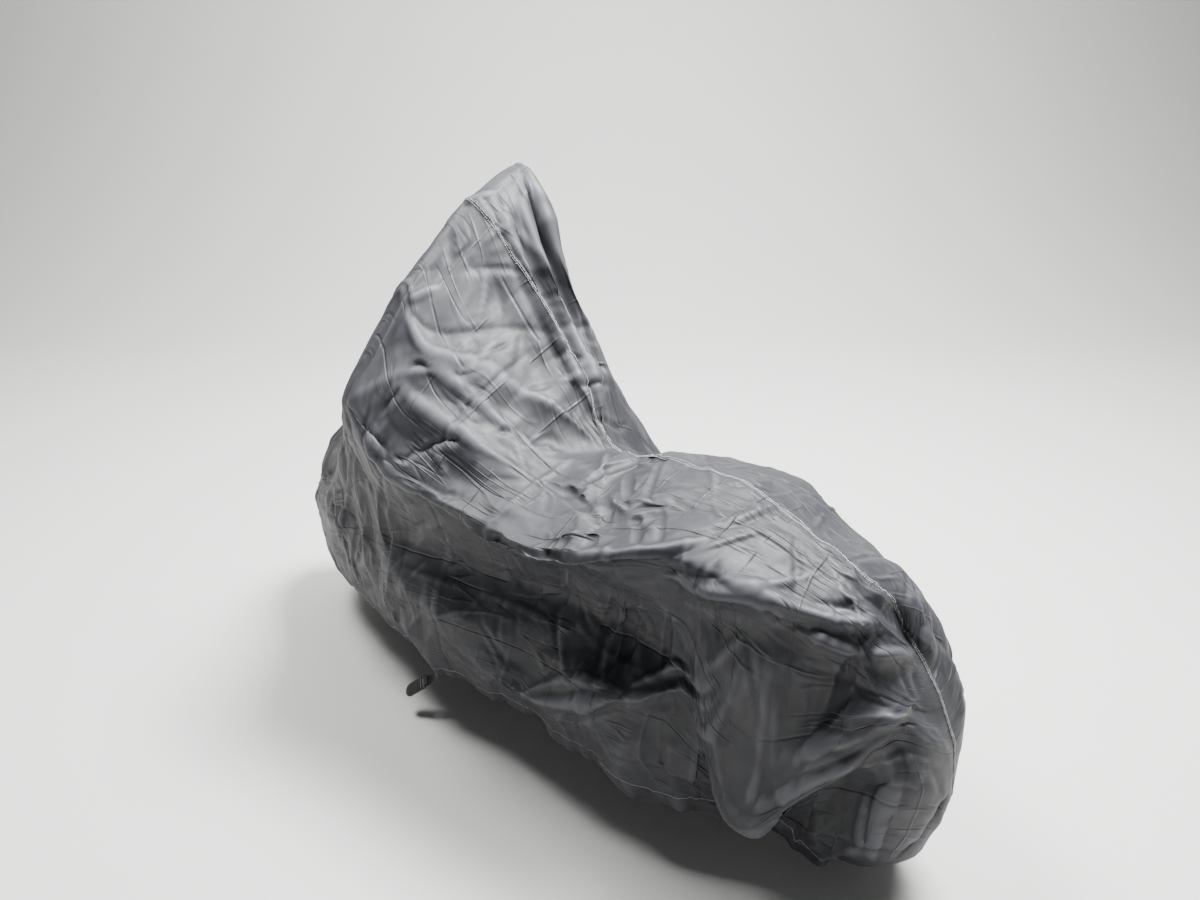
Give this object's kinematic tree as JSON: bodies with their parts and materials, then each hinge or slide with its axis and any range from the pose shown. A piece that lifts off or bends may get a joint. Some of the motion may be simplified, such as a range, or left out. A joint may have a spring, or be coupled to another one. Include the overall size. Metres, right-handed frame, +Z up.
{
  "type": "fitted two-wheeler cover",
  "caption": "Fitted weather cover draped over a parked scooter-size two-wheeler: tall peak over the bars, long saddle, elastic hem and a loose belly strap end.",
  "frame": {"origin": "saddle rest: the middle of the saddle's top, just inside the cloth that lies on it", "axes": "+X towards the rear of the covered vehicle, -Y towards its left side, +Z up"},
  "size_m": [1.7958, 0.6702, 1.1691],
  "materials": {
    "taffeta": "semi-gloss coated",
    "webbing": "matte woven",
    "buckle": "moulded satin"
  },
  "bodies": {
    "root": {"left_panel": "taffeta", "right_panel": "taffeta", "strap_webbing": "webbing", "strap_buckle": "buckle"}
  },
  "joints": []
}
